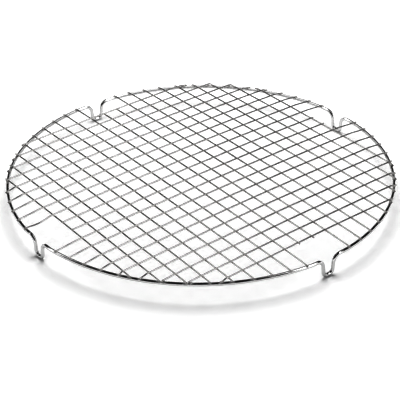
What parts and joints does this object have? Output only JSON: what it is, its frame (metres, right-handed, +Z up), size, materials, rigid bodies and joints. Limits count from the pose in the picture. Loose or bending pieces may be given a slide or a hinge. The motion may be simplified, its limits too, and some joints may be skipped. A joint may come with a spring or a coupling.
{
  "type": "cooling rack",
  "caption": "Round wire rack that holds baking clear of the worktop so that it cools from below: a heavy wire ring bent down into feet, with a domed grid of thin wires across it.",
  "frame": {"origin": "on the floor under the ring's centre, at the underside of the feet", "axes": "+Z up, the ring's axis; the feet are near -X, -Y, +X and +Y; the lower wires run along Y and the upper wires along X, each layer turned one degree off its axis, the lower one clockwise seen from above"},
  "size_m": [0.3198, 0.3198, 0.0224],
  "materials": {
    "rim_chrome": "bright chrome plate over drawn steel wire",
    "grid_chrome": "bright chrome plate over thin drawn steel wire"
  },
  "bodies": {
    "root": {"rim_wire": "rim_chrome", "lower_wire_01": "grid_chrome", "lower_wire_02": "grid_chrome", "lower_wire_03": "grid_chrome", "lower_wire_04": "grid_chrome", "lower_wire_05": "grid_chrome", "lower_wire_06": "grid_chrome", "lower_wire_07": "grid_chrome", "lower_wire_08": "grid_chrome", "lower_wire_09": "grid_chrome", "lower_wire_10": "grid_chrome", "lower_wire_11": "grid_chrome", "lower_wire_12": "grid_chrome", "lower_wire_13": "grid_chrome", "lower_wire_14": "grid_chrome", "lower_wire_15": "grid_chrome", "lower_wire_16": "grid_chrome", "lower_wire_17": "grid_chrome", "lower_wire_18": "grid_chrome", "lower_wire_19": "grid_chrome", "lower_wire_20": "grid_chrome", "upper_wire_01": "grid_chrome", "upper_wire_02": "grid_chrome", "upper_wire_03": "grid_chrome", "upper_wire_04": "grid_chrome", "upper_wire_05": "grid_chrome", "upper_wire_06": "grid_chrome", "upper_wire_07": "grid_chrome", "upper_wire_08": "grid_chrome", "upper_wire_09": "grid_chrome", "upper_wire_10": "grid_chrome", "upper_wire_11": "grid_chrome", "upper_wire_12": "grid_chrome", "upper_wire_13": "grid_chrome", "upper_wire_14": "grid_chrome", "upper_wire_15": "grid_chrome", "upper_wire_16": "grid_chrome", "upper_wire_17": "grid_chrome", "upper_wire_18": "grid_chrome", "upper_wire_19": "grid_chrome", "upper_wire_20": "grid_chrome"}
  },
  "joints": []
}
